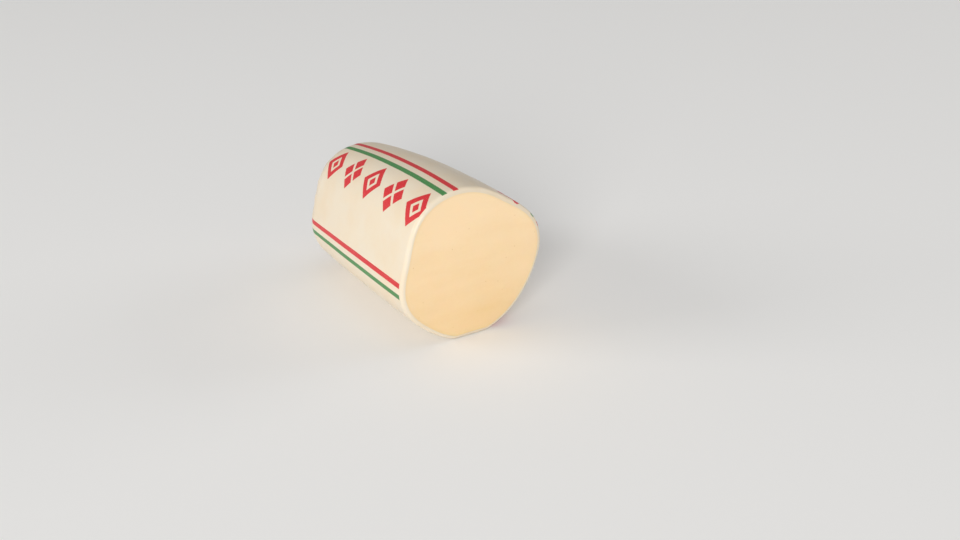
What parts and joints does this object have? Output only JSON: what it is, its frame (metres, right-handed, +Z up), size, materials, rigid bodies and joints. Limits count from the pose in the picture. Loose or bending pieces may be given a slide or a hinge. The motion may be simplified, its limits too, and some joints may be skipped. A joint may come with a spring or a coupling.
{
  "type": "provolone cheese",
  "caption": "Half log of provolone cheese lying on its side, cut flat across at one end, in a striped film casing gathered and clipped at the other.",
  "frame": {"origin": "centre of the base of the bounding box, on the surface that the log rests on", "axes": "+Z up; +Y along the log from the cut face to the gathered end; the cut face looks along -Y; +X to the right as seen facing the cut"},
  "size_m": [0.1348, 0.226, 0.1332],
  "materials": {
    "cheese": "pale creamy yellow cut cheese, dense and smooth, with a faint moist sheen",
    "casing_film": "ivory plastic film stretched over the cheese, semi-gloss, printed with thin red and green stripes and red ornaments",
    "clip_metal": "bright drawn aluminium with fine scratches"
  },
  "bodies": {
    "root": {"cheese": "cheese", "wrapper": "casing_film", "clip": "clip_metal"}
  },
  "joints": []
}
